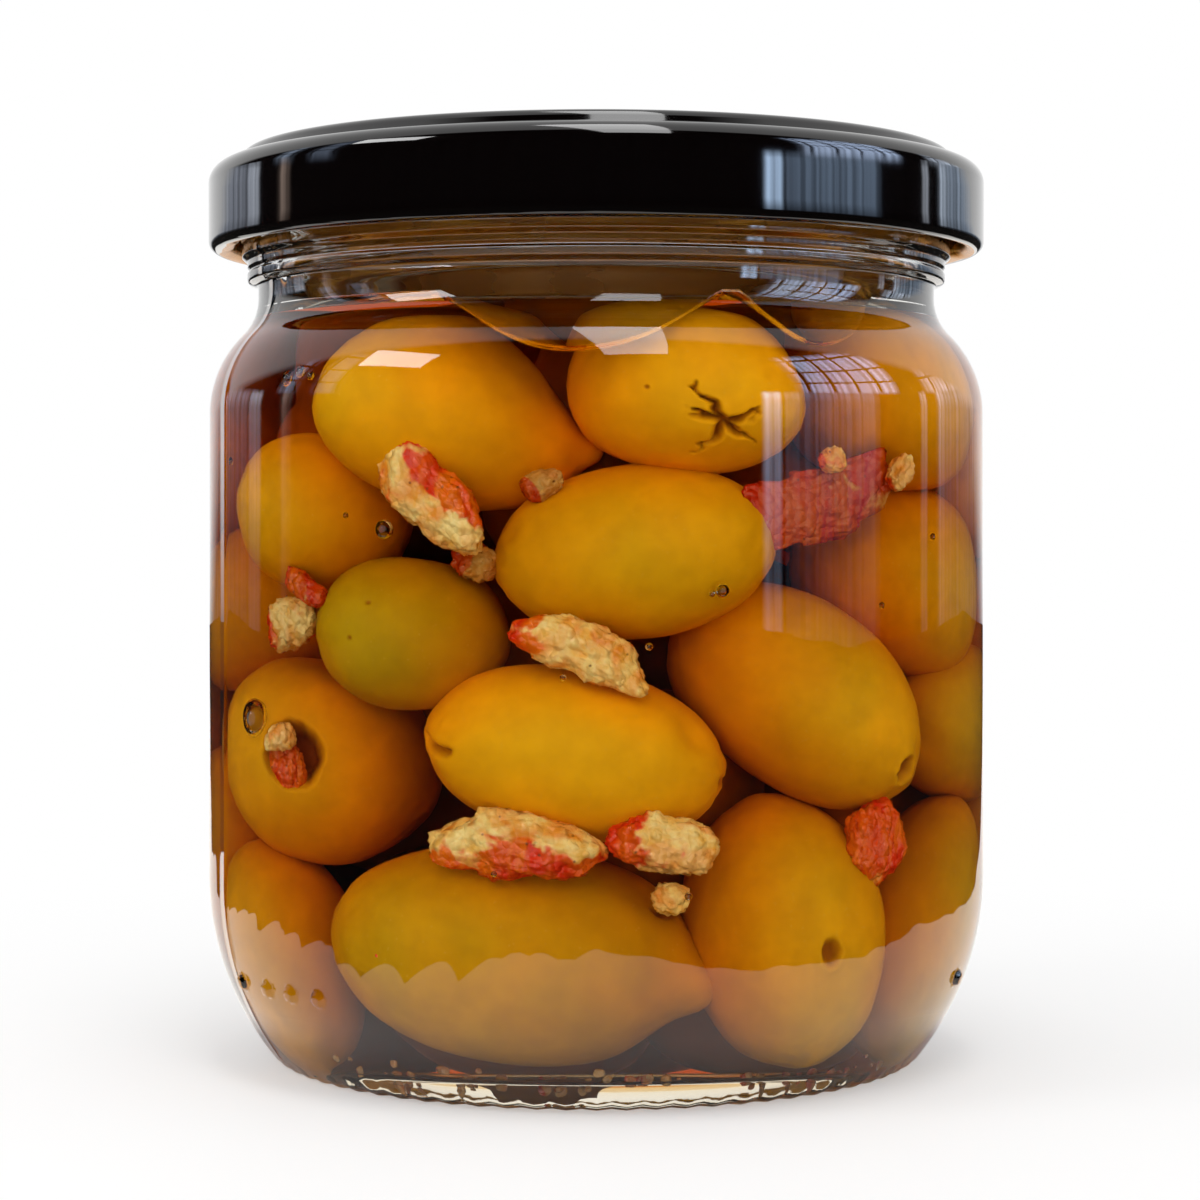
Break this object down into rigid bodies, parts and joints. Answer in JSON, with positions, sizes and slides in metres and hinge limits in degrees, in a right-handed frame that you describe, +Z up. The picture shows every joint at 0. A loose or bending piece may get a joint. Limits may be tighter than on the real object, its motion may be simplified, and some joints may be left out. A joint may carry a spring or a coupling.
{
  "type": "jar of stuffed olives in oil",
  "caption": "Round glass twist-off jar filled with stuffed green olives in amber oil, shut with a glossy black metal lug lid.",
  "frame": {"origin": "centre of the flat ring that the jar stands on", "axes": "+Z up along the jar's axis, +X to the right and +Y away from the viewer who looks at the front"},
  "size_m": [0.0864, 0.0864, 0.1004],
  "materials": {
    "jar": "clear polished glass",
    "lid": "gloss black lacquer on tinplate",
    "lid_seal": "matt sealing compound",
    "olives_in_oil": "clear amber oil with olives"
  },
  "bodies": {
    "root": {"jar": "jar", "lid": "lid", "lid_seal": "lid_seal", "olives_in_oil": "olives_in_oil"}
  },
  "joints": []
}
